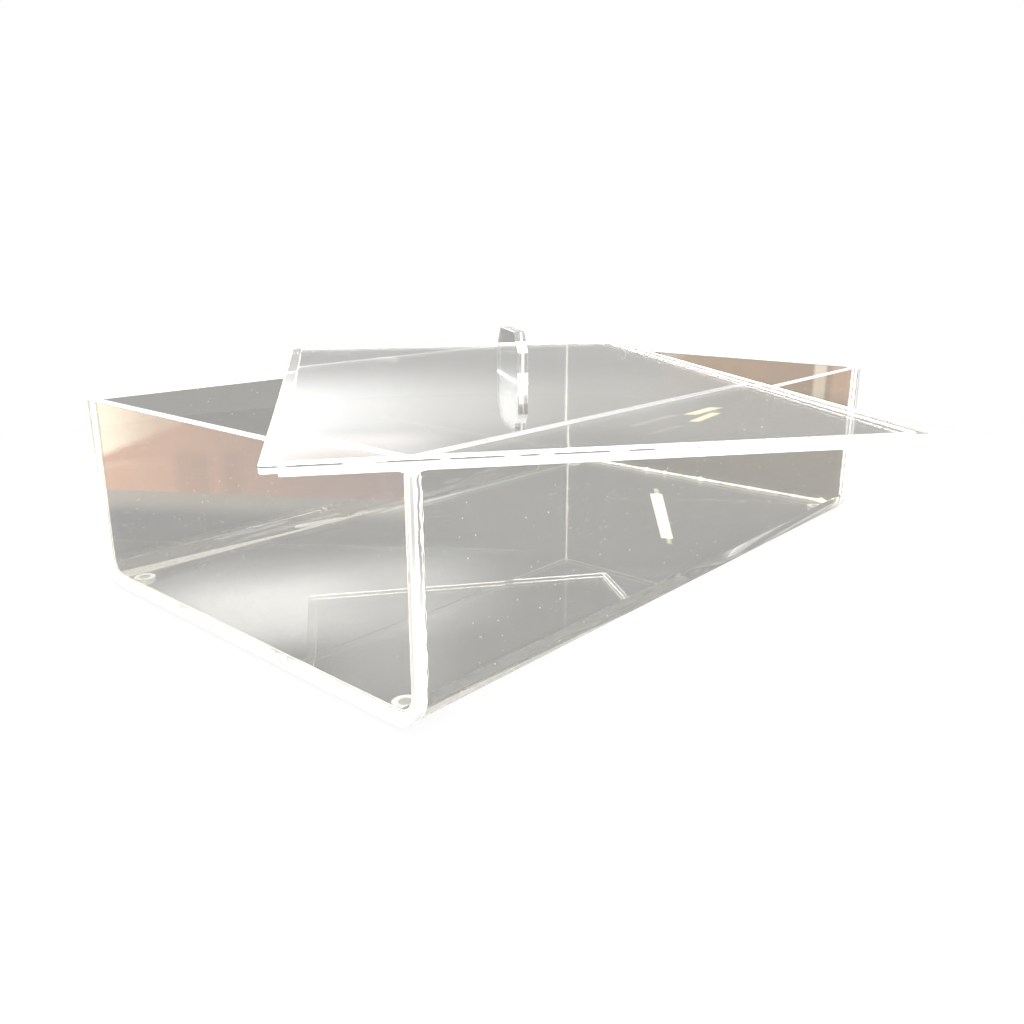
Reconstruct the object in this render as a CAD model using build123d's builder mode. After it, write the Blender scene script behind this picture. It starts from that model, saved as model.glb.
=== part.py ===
from build123d import *
import os

# A clear acrylic storage box with a loose lid, in millimetres.
# The origin is the middle of the bottom's underside, +X runs along the box and +Z is up.
# The lid lies askew on the rim, where it is put down while the box is in use.

# Box, measured outside
box_length = 404.0
box_width = 250.0
box_height = 100.0

# One sheet makes the bottom and both long walls, bent up hot over a round former
wall_sheet = 5.0
former_radius = 8.0
bend_radius = former_radius + wall_sheet

# The end panels are cut from a heavier sheet and cemented over the ends of the bent one
end_sheet = 6.0
bent_length = box_length - 2 * end_sheet
end_panel_places = {"left_end_panel": -box_length / 2, "right_end_panel": bent_length / 2}

# Lid: a cover as large as the box, a locating plate under it and a handle plate on it
cover_sheet = 3.0
cover_corner_radius = 2.0
locating_sheet = 3.0
locating_clearance = 1.0
locating_length = bent_length - 2 * locating_clearance
locating_width = box_width - 2 * (wall_sheet + locating_clearance)

# Where the lid lies on the rim: its long side is turned from the box's, counterclockwise
lid_turn = 53.5
lid_shift_x = -22.5
lid_shift_y = -11.2
cover_base = box_height + locating_sheet
lid_top = cover_base + cover_sheet

# Handle plate, standing along the lid's long middle line
handle_width = 57.0
handle_height = 26.5
handle_sheet = 5.5
handle_corner_cut = 10.0
handle_off_centre = 5.5

# Bumper feet, stuck under the flat part of the bottom beside the bends
foot_radius = 5.75
foot_flat_radius = 2.6
foot_height = 4.0
foot_skirt = 0.8
foot_edge_gap = 0.5
foot_end_gap = 3.25
foot_x = bent_length / 2 - foot_end_gap - foot_radius
foot_y = box_width / 2 - bend_radius - foot_edge_gap - foot_radius
foot_places = {
    "front_left_foot": (-foot_x, -foot_y),
    "front_right_foot": (foot_x, -foot_y),
    "back_left_foot": (-foot_x, foot_y),
    "back_right_foot": (foot_x, foot_y),
}


def section(sheet, radius):
    """The box's section, drawn one sheet in from its outside, with both bottom corners rounded."""
    with BuildSketch(mode=Mode.PRIVATE) as outline:
        with Locations((0, sheet)):
            Rectangle(box_width - 2 * sheet, box_height - sheet, align=(Align.CENTER, Align.MIN))
        fillet(outline.vertices().group_by(Axis.Y)[0], radius)
    return outline.sketch


def lid_plane(height):
    """A level plane over the lid's middle, with its x direction along the lid."""
    along = Vector(1, 0, 0).rotate(Axis.Z, lid_turn)
    return Plane(origin=(lid_shift_x, lid_shift_y, height), x_dir=along, z_dir=(0, 0, 1))


def keep(builder, name):
    """Labels a finished piece and writes it under that name."""
    builder.part.label = name
    export_step(builder.part, f"parts/{name}.step")


os.makedirs("parts", exist_ok=True)

# The bent body is the section's outer outline less its inner one, drawn out between the end panels
with BuildPart() as bent_body:
    with BuildSketch(Plane.YZ.offset(-bent_length / 2)):
        add(section(0, bend_radius))
        add(section(wall_sheet, former_radius), mode=Mode.SUBTRACT)
    extrude(amount=bent_length)
keep(bent_body, "bent_body")

# Each end panel has the bent body's outer outline, so its bottom corners follow the bends
for panel_name, panel_x in end_panel_places.items():
    with BuildPart() as end_panel:
        with BuildSketch(Plane.YZ.offset(panel_x)):
            add(section(0, bend_radius))
        extrude(amount=end_sheet)
    keep(end_panel, panel_name)

# Each foot is a clear dome with a short straight skirt and a small flat to stand on
for foot_name, (centre_x, centre_y) in foot_places.items():
    foot_plane = Plane(origin=(centre_x, centre_y, 0), x_dir=(1, 0, 0), z_dir=(0, -1, 0))
    with BuildPart() as foot:
        with BuildSketch(foot_plane):
            with BuildLine():
                top = Line((0, 0), (foot_radius, 0))
                skirt = Line(top @ 1, (foot_radius, -foot_skirt))
                dome = TangentArc(skirt @ 1, (foot_flat_radius, -foot_height), tangent=skirt % 1)
                Polyline(dome @ 1, (0, -foot_height), (0, 0))
            make_face()
        revolve(axis=Axis(foot_plane.origin, (0, 0, 1)))
    keep(foot, foot_name)

# The locating plate would drop inside the rim, but lies on top of it while the lid is askew
with BuildPart() as lid_locating_plate:
    with BuildSketch(lid_plane(box_height)):
        Rectangle(locating_length, locating_width)
    extrude(amount=locating_sheet)
keep(lid_locating_plate, "lid_locating_plate")

# The cover is flush with the box all round when the lid is closed
with BuildPart() as lid_cover:
    with BuildSketch(lid_plane(cover_base)) as cover_outline:
        Rectangle(box_length, box_width)
        fillet(cover_outline.vertices(), cover_corner_radius)
    extrude(amount=cover_sheet)
keep(lid_cover, "lid_cover")

# The handle stands on edge along the lid, with both top corners cut off at 45 degrees
lid_level = lid_plane(lid_top)
handle_origin = lid_level.origin - lid_level.x_dir * handle_off_centre
with BuildPart() as lid_handle:
    with BuildSketch(Plane(origin=handle_origin, x_dir=lid_level.x_dir, z_dir=-lid_level.y_dir)) as side:
        Rectangle(handle_width, handle_height, align=(Align.CENTER, Align.MIN))
        chamfer(side.vertices().group_by(Axis.Y)[-1], handle_corner_cut)
    extrude(amount=handle_sheet / 2, both=True)
keep(lid_handle, "lid_handle")
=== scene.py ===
"""A clear storage box with a loose lid, dressed and lit for its portrait.

The bent body, its two end panels, the lid's plates, the handle and the bumpers are rebuilt over the fixed
frame, with polished faces, white saw-cut edges and cemented seams. Lengths are metres and angles are degrees.
"""

import logging
from dataclasses import dataclass, field
from enum import Enum

import bpy
import numpy as np
from mathutils import Matrix, Vector


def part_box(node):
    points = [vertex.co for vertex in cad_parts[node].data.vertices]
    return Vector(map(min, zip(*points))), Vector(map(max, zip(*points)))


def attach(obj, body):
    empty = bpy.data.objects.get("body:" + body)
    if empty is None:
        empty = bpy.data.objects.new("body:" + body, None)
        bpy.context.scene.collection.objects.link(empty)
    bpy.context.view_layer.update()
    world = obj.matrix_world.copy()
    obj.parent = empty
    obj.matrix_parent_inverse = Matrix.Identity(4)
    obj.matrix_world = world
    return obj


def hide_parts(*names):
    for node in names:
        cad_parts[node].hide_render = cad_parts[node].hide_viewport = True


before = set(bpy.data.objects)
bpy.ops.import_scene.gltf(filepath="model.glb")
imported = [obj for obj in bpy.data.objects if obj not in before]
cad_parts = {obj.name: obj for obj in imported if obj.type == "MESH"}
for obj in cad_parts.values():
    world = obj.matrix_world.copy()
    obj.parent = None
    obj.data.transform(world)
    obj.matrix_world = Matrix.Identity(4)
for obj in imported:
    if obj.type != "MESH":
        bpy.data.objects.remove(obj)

log = logging.getLogger("storage_box")

WELD = 1e-7  # points closer than this are one point
SEAT_GAP = 5e-5  # the film of air or cement between two sheets that touch
SHEET_INDEX = 1.49  # acrylic bends light by this much
LIGHT_BOUNCES = 96  # light goes to and fro in the sheets this often at most
CLEAR_BOUNCES = 64  # and passes this many clear faces

Colour = tuple[float, float, float]
Socket = bpy.types.NodeSocket

BLACK = (0.0, 0.0, 0.0, 1.0)
WHITE = (1.0, 1.0, 1.0, 1.0)


class Zone(Enum):
    """The kinds of face on a piece, by the material slot that each one takes."""

    FACE = 0
    EDGE = 1
    JOINT = 2
    MARGIN = 3


def transform(points: np.ndarray, place: np.ndarray) -> np.ndarray:
    """Moves points by a 4 by 4 matrix: its left block turns each one and its last column shifts it."""
    return points @ place[:3, :3].T + place[:3, 3]


def unit(angle: np.ndarray) -> np.ndarray:
    """Unit vectors at angles in radians, as cosine and sine side by side."""
    return np.stack([np.cos(angle), np.sin(angle)], axis=-1)


@dataclass
class Surface:
    """Faces gathered from grids and flat ends, then welded into one closed mesh."""

    points: list[np.ndarray] = field(default_factory=list)
    faces: list[list[int]] = field(default_factory=list)
    zones: list[np.ndarray] = field(default_factory=list)
    smooth: list[np.ndarray] = field(default_factory=list)
    count: int = 0

    def grid(
        self, points: np.ndarray, zone: Zone | np.ndarray, smooth: bool | np.ndarray, closed: bool = False
    ) -> None:
        """Adds one quad between each pair of neighbouring rows and columns.

        Args:
            points: Rows by columns by 3. Rows cross columns so that their cross product points outwards.
            zone: The kind of all its faces, or an array of slot numbers, one for each quad.
            smooth: Whether its faces shade as a curve, for all of them or one for each quad.
            closed: Whether the last column joins the first.
        """
        rows, columns = points.shape[:2]
        index = self.count + np.arange(rows * columns).reshape(rows, columns)
        if closed:
            index = np.hstack([index, index[:, :1]])
        quads = np.stack([index[:-1, :-1], index[:-1, 1:], index[1:, 1:], index[1:, :-1]], axis=-1)
        shape = quads.shape[:2]
        slots = zone.value if isinstance(zone, Zone) else zone
        self.points.append(points.reshape(-1, 3))
        self.faces.extend(quads.reshape(-1, 4).tolist())
        self.zones.append(np.broadcast_to(slots, shape).ravel())
        self.smooth.append(np.broadcast_to(smooth, shape).ravel())
        self.count += rows * columns

    def cap(self, ring: np.ndarray, zone: Zone, outward: bool) -> None:
        """Closes a flat ring with one face, whose normal follows the ring's turn only if outward."""
        index = list(range(self.count, self.count + len(ring)))
        self.points.append(ring)
        self.faces.append(index if outward else index[::-1])
        self.zones.append(np.array([zone.value]))
        self.smooth.append(np.array([False]))
        self.count += len(ring)

    def build(self, name: str, materials: list[bpy.types.Material]) -> bpy.types.Object:
        """Welds the points that coincide and makes the object.

        Args:
            name: The piece's name.
            materials: One for each zone that the piece uses, in the order of Zone.

        Returns:
            The new object, at the origin, with its place in its mesh.
        """
        points = np.concatenate(self.points)
        _, first, inverse = np.unique(np.round(points / WELD), axis=0, return_index=True, return_inverse=True)
        inverse = inverse.reshape(-1)
        faces = [list(dict.fromkeys(inverse[face].tolist())) for face in self.faces]
        kept = np.array([len(face) > 2 for face in faces])
        mesh = bpy.data.meshes.new(name)
        mesh.from_pydata(points[first].tolist(), [], [face for face, keep in zip(faces, kept) if keep])
        mesh.polygons.foreach_set("material_index", np.concatenate(self.zones)[kept].astype(np.int32))
        mesh.polygons.foreach_set("use_smooth", np.concatenate(self.smooth)[kept].astype(bool))
        for material in materials:
            mesh.materials.append(material)
        mesh.update()
        piece = bpy.data.objects.new(name, mesh)
        bpy.context.scene.collection.objects.link(piece)
        return piece


@dataclass(frozen=True)
class Outline:
    """A convex outline, counterclockwise, whose corners are rounded."""

    corners: np.ndarray
    radii: np.ndarray
    steps: int = 9

    def ring(self, inset: float = 0.0) -> np.ndarray:
        """The outline drawn in by an inset.

        Each corner's arc keeps its centre, which lies one radius inside both of its sides, and its radius
        shrinks by the inset. The points run along each arc from one side's outward normal to the next one's.

        Args:
            inset: How far the outline is drawn in.

        Returns:
            Corners times steps points, by 2.
        """
        along = np.roll(self.corners, -1, axis=0) - self.corners
        along /= np.linalg.norm(along, axis=1, keepdims=True)
        normal_out = np.stack([along[:, 1], -along[:, 0]], axis=-1)
        normal_in = np.roll(normal_out, 1, axis=0)
        cosine = np.sum(normal_in * normal_out, axis=1)
        centre = self.corners - (normal_in + normal_out) * (self.radii / (1 + cosine))[:, None]
        start = np.arctan2(normal_in[:, 1], normal_in[:, 0])
        angle = start[:, None] + np.arccos(cosine)[:, None] * np.linspace(0, 1, self.steps)
        return (centre[:, None] + (self.radii - inset)[:, None, None] * unit(angle)).reshape(-1, 2)

    def straight(self) -> np.ndarray:
        """True for each gap between two points that is a straight side and not part of an arc."""
        return np.arange(len(self.corners) * self.steps) % self.steps == self.steps - 1


def rectangle(length: float, width: float, radius: float) -> Outline:
    """A rectangle about the origin, with all four corners rounded alike."""
    half = np.array([length / 2, width / 2])
    return Outline(np.array([(-1, -1), (1, -1), (1, 1), (-1, 1)]) * half, np.full(4, radius))


@dataclass(frozen=True)
class Plate:
    """A flat sheet cut to an outline, with its arrises eased all round."""

    outline: Outline
    thickness: float
    place: np.ndarray
    arris: float = 3e-4
    arris_steps: int = 4
    clear_arris: bool = False
    margin: Zone = Zone.FACE
    bonded_below: Outline | None = None
    bonded_above: Outline | None = None

    def surface(self) -> Surface:
        """The plate's faces.

        A profile is carried round the outline: along each arris the inset is the radius less its sine share,
        and the height is the radius less its cosine share. Both flat faces then close it, as a rim round the
        bonded area and that area itself where there is one.

        Returns:
            The closed surface, in the row frame.
        """
        angle = np.linspace(0, np.pi / 2, self.arris_steps)
        inset = self.arris * (1 - np.sin(angle))
        rise = self.arris * (1 - np.cos(angle))
        insets = np.concatenate([inset, inset[::-1]])
        heights = np.concatenate([rise, self.thickness - rise[::-1]])
        rings = np.stack([self.level(self.outline, one, height) for one, height in zip(insets, heights)])
        side_row = np.arange(len(insets) - 1) == self.arris_steps - 1
        curved = ~(side_row[:, None] & self.outline.straight()[None, :])
        slots = np.where(side_row | (not self.clear_arris), Zone.EDGE.value, Zone.FACE.value)
        made = Surface()
        made.grid(rings, slots[:, None], curved, closed=True)
        for rim, bonded, height, above in (
            (rings[0], self.bonded_below, 0.0, False),
            (rings[-1], self.bonded_above, self.thickness, True),
        ):
            if bonded is None:
                made.cap(rim, Zone.FACE, above)
                continue
            inner = self.level(bonded, 0.0, height)
            made.grid(np.stack([rim, inner] if above else [inner, rim]), self.margin, False, closed=True)
            made.cap(inner, Zone.JOINT, above)
        return made

    def level(self, outline: Outline, inset: float, height: float) -> np.ndarray:
        """An outline's ring at a height in the plate, in the row frame."""
        ring = outline.ring(inset)
        return transform(np.column_stack([ring, np.full(len(ring), height)]), self.place)


@dataclass(frozen=True)
class BentSheet:
    """One sheet that makes the bottom and both long walls, bent over a round former along both long edges."""

    length: float
    width: float
    height: float
    sheet: float = 0.005
    former_radius: float = 0.008
    arris: float = 4e-4
    arris_steps: int = 5
    bend_steps: int = 120
    tangent_strip: float = 3e-4

    def half_profile(self, inset: float) -> tuple[np.ndarray, np.ndarray, np.ndarray]:
        """One side of the U section, from the middle of the left rim down, across the bottom and up again.

        The left half is the rim's middle, the eased arris, the wall, the quarter circle of the bend and the
        bottom, and the right half is its mirror image.

        Args:
            inset: Zero for the outer side and the sheet's thickness for the inner one.

        Returns:
            The points, by y and z, and for each gap between them its slot number and whether it is curved.
        """
        radius = self.former_radius + self.sheet - inset
        wall = inset - self.width / 2
        inwards = 1 if inset == 0 else -1
        rim_middle = np.array([[(self.sheet - self.width) / 2, self.height]])
        turn = np.linspace(0, np.pi / 2, self.arris_steps)
        arris_centre = np.array([wall + inwards * self.arris, self.height - self.arris])
        arris = arris_centre + self.arris * np.column_stack([-inwards * np.sin(turn), np.cos(turn)])
        bend_centre = np.array([wall + radius, inset + radius])
        bend = bend_centre - radius * unit(np.linspace(0, np.pi / 2, self.bend_steps))
        reach = radius + self.tangent_strip
        strips = np.array([[wall, inset + reach], [wall + reach, inset]])
        left = np.concatenate([rim_middle, arris, strips[:1], bend, strips[1:]])
        slots = np.full(len(left), Zone.FACE.value)
        slots[: self.arris_steps] = Zone.EDGE.value
        curved = np.ones(len(left), bool)
        curved[[0, self.arris_steps, len(left) - 1]] = False
        points = np.concatenate([left, left[::-1] * (-1, 1)])
        return points, np.concatenate([slots, slots[-2::-1]]), np.concatenate([curved, curved[-2::-1]])

    def surface(self, low: float, high: float) -> Surface:
        """The sheet's faces between two cemented ends.

        The closed section, outer side out and inner side back, is carried along x, and each end is closed by
        quads between the outer side and the inner one.

        Args:
            low: Where the sheet starts along x.
            high: Where it ends.

        Returns:
            The closed surface, in the row frame.
        """
        outer, slots, curved = self.half_profile(0.0)
        inner, inner_slots, inner_curved = self.half_profile(self.sheet)
        loop = np.concatenate([outer, inner[-2:0:-1]])
        loop_slots = np.concatenate([slots, inner_slots[::-1]])
        loop_curved = np.concatenate([curved, inner_curved[::-1]])
        ends = np.array([low, high])
        made = Surface()
        sides = np.stack([np.column_stack([np.full(len(loop), x), loop]) for x in ends])
        made.grid(sides, loop_slots[None, :], loop_curved[None, :], closed=True)
        for x, pair in ((low, (inner, outer)), (high, (outer, inner))):
            rows = np.stack([np.column_stack([np.full(len(side), x), side]) for side in pair])
            made.grid(rows, Zone.JOINT, False)
        return made

    def inner_corner(self, x: float, lift: float) -> np.ndarray:
        """The line where the inner side meets an end panel, held off both by a lift, from rim to rim."""
        side, _, _ = self.half_profile(self.sheet + lift)
        path = side[1:-1]
        return np.column_stack([np.full(len(path), x), path])


@dataclass(frozen=True)
class Bumper:
    """A clear stick-on bumper: a dome with a short straight skirt and a small flat to stand on."""

    radius: float
    flat_radius: float = 0.0026
    skirt: float = 0.0008
    height: float = 0.004
    glue_ring: tuple[float, float] = (0.94, 0.5)
    around: int = 72
    dome_steps: int = 20

    def surface(self, centre: tuple[float, float], top: float) -> Surface:
        """The bumper's faces.

        The profile runs from the middle of the flat out along the dome, an arc that leaves the skirt upright,
        and up the skirt to the middle of the stuck face. It is turned about the upright line at its centre.

        Args:
            centre: Its middle, by x and y.
            top: The height of its stuck face.

        Returns:
            The closed surface, in the row frame.
        """
        reach = self.radius - self.flat_radius
        drop = self.height - self.skirt
        arc_radius = (reach**2 + drop**2) / (2 * reach)
        sweep = np.arcsin(drop / arc_radius)
        angle = np.linspace(sweep, 0, self.dome_steps)
        dome_r = self.radius - arc_radius * (1 - np.cos(angle))
        dome_z = top - self.skirt - arc_radius * np.sin(angle)
        glue = self.radius * np.array(self.glue_ring)
        radii = np.concatenate([[0], dome_r, [self.radius], glue, [0]])
        levels = np.concatenate([[dome_z[0]], dome_z, [top - self.skirt * 0.1, top, top, top]])
        turn = unit(np.linspace(0, 2 * np.pi, self.around, endpoint=False))
        ring = radii[:, None, None] * turn[None] + np.array(centre)
        heights = np.broadcast_to(levels[:, None, None], ring.shape[:2] + (1,))
        points = np.concatenate([ring, heights], axis=-1)
        slots = np.full(len(radii) - 1, Zone.FACE.value)
        slots[-2] = Zone.EDGE.value
        curved = np.ones(len(radii) - 1, bool)
        curved[[0, -2, -1]] = False
        made = Surface()
        made.grid(points, slots[:, None], curved[:, None], closed=True)
        return made


@dataclass(frozen=True)
class CementBead:
    """Cement squeezed out along an inside corner: a thin thread that swells and thins."""

    radius: float = 2.2e-4
    sides: int = 8
    waves: tuple[float, ...] = (23.0, 61.0, 149.0)
    drops: tuple[tuple[float, float, float], ...] = ()
    step: float = 0.001
    unevenness: float = 0.33

    def surface(self, path: np.ndarray, normal: tuple[float, float, float]) -> Surface:
        """A tube along the path.

        Its radius is the plain one times one plus a share of the mean of some sine waves of the distance
        along it. Each drop adds its size there, which falls off as a bell curve one and a half sizes wide.

        Args:
            path: The bead's middle line, points by 3, without repeats.
            normal: The direction square to the plane that the path lies in.

        Returns:
            The closed surface, in the row frame.
        """
        steps = np.linalg.norm(np.diff(path, axis=0), axis=1)
        along = np.concatenate([[0], np.cumsum(steps)])
        fine = np.unique(np.concatenate([along, np.arange(0, along[-1], self.step)]))
        line = np.column_stack([np.interp(fine, along, path[:, axis]) for axis in range(3)])
        swell = sum(np.sin(fine * wave * 2 * np.pi + wave) for wave in self.waves) / len(self.waves)
        radius = self.radius * (1 + self.unevenness * swell)
        for y, z, size in self.drops:
            away = np.linalg.norm(line[:, 1:] - (y, z), axis=1)
            radius = radius + size * np.exp(-((away / (1.5 * size)) ** 2))
        tangent = np.gradient(line, axis=0)
        tangent /= np.linalg.norm(tangent, axis=1, keepdims=True)
        across = np.broadcast_to(normal, line.shape)
        up = np.cross(tangent, across)
        turn = unit(np.linspace(0, 2 * np.pi, self.sides, endpoint=False))
        offset = across[:, None] * turn[None, :, :1] + up[:, None] * turn[None, :, 1:]
        points = line[:, None] + radius[:, None, None] * offset
        made = Surface()
        made.grid(points, Zone.FACE, True, closed=True)
        made.cap(points[0], Zone.FACE, False)
        made.cap(points[-1], Zone.FACE, True)
        return made


class Tree:
    """A node tree that is written one call to a node."""

    def __init__(self, nodes: bpy.types.NodeTree) -> None:
        """Takes the tree to write in."""
        self.tree = nodes

    def link(self, source: Socket, target: Socket) -> None:
        """Links an output to an input."""
        self.tree.links.new(source, target)

    def feed(self, socket: Socket, value: object) -> None:
        """Sets an input to a value, or links it where the value is an output socket."""
        if isinstance(value, Socket):
            self.link(value, socket)
        else:
            socket.default_value = value

    def add(
        self, kind: str, inputs: dict[str | int, object] | None = None, **settings: object
    ) -> bpy.types.Node:
        """Adds a node.

        Args:
            kind: The node's type, without its ShaderNode prefix.
            inputs: A value, or an output socket to link, for each input by name or number.
            settings: Properties of the node itself.

        Returns:
            The node.
        """
        node = self.tree.nodes.new("ShaderNode" + kind)
        for name, value in settings.items():
            setattr(node, name, value)
        for name, value in (inputs or {}).items():
            self.feed(node.inputs[name], value)
        return node

    def math(self, operation: str, *values: object) -> Socket:
        """The output of a Math node on one to three values or sockets."""
        return self.add("Math", dict(enumerate(values)), operation=operation).outputs[0]

    def times(self, first: object, *others: object) -> Socket:
        """The product of values or sockets."""
        for other in others:
            first = self.math("MULTIPLY", first, other)
        return first

    def here(self) -> Socket:
        """The Object coordinates."""
        return self.add("TexCoord").outputs["Object"]

    def split(self, vector: Socket) -> bpy.types.bpy_prop_collection:
        """The three parts of a vector, by the names X, Y and Z."""
        return self.add("SeparateXYZ", {0: vector}).outputs

    def dot(self, first: object, second: object) -> Socket:
        """The dot product of two vectors."""
        return self.add("VectorMath", {0: first, 1: second}, operation="DOT_PRODUCT").outputs["Value"]

    def noise(self, place: Socket, scale: float, detail: float = 2.0, distortion: float = 0.0) -> Socket:
        """Smooth noise from 0 to 1 over a place."""
        inputs = {"Vector": place, "Scale": scale, "Detail": detail, "Distortion": distortion}
        return self.add("TexNoise", inputs).outputs["Fac"]

    def cells(self, place: Socket, scale: float) -> tuple[Socket, Socket]:
        """The distance from the heart of the nearest Voronoi cell, and a number that is the cell's own."""
        cells = self.add("TexVoronoi", {"Vector": place, "Scale": scale}).outputs
        own = self.add("TexWhiteNoise", {"Vector": cells["Position"]}, noise_dimensions="3D")
        return cells["Distance"], own.outputs["Value"]

    def ramp(self, value: object, low: object, high: object, to: tuple[float, float] = (0.0, 1.0)) -> Socket:
        """A smooth step of a value from one limit to the other, between two results."""
        inputs = {"Value": value, "From Min": low, "From Max": high, "To Min": to[0], "To Max": to[1]}
        return self.add("MapRange", inputs, interpolation_type="SMOOTHSTEP").outputs["Result"]

    def blend(self, share: object, first: object, second: object) -> Socket:
        """A colour between two colours by a share."""
        node = self.add("Mix", data_type="RGBA")
        for name, value in {"Factor": share, "A": first, "B": second}.items():
            self.feed(next(s for s in node.inputs if s.name == name and s.enabled), value)
        return next(s for s in node.outputs if s.enabled)

    def place(self, group: bpy.types.NodeTree, **inputs: object) -> bpy.types.Node:
        """Adds a node group with its own values, by input name with blanks as underscores."""
        node = self.tree.nodes.new("ShaderNodeGroup")
        node.node_tree = group
        for name, value in inputs.items():
            self.feed(node.inputs[name.replace("_", " ")], value)
        return node


def rgba(colour: Colour) -> tuple[float, float, float, float]:
    """A colour with full alpha, as sockets take it."""
    return (*colour, 1.0)


def new_group(
    name: str, inputs: dict[str, float], outputs: dict[str, str]
) -> tuple[Tree, dict[str, Socket], dict[str, Socket]]:
    """Starts a shader node group.

    Args:
        name: The group's name.
        inputs: Its number inputs, with their usual values.
        outputs: Its outputs, with the kind of each: Float, Color or Vector.

    Returns:
        The tree to write in, what its input node gives and what its output node takes.
    """
    group = bpy.data.node_groups.new(name, "ShaderNodeTree")
    for title, value in inputs.items():
        socket = group.interface.new_socket(title, in_out="INPUT", socket_type="NodeSocketFloat")
        socket.default_value = value
    for title, kind in outputs.items():
        group.interface.new_socket(title, in_out="OUTPUT", socket_type="NodeSocket" + kind)
    given = group.nodes.new("NodeGroupInput").outputs
    result = group.nodes.new("NodeGroupOutput").inputs
    return Tree(group), dict(given.items()), dict(result.items())


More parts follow.
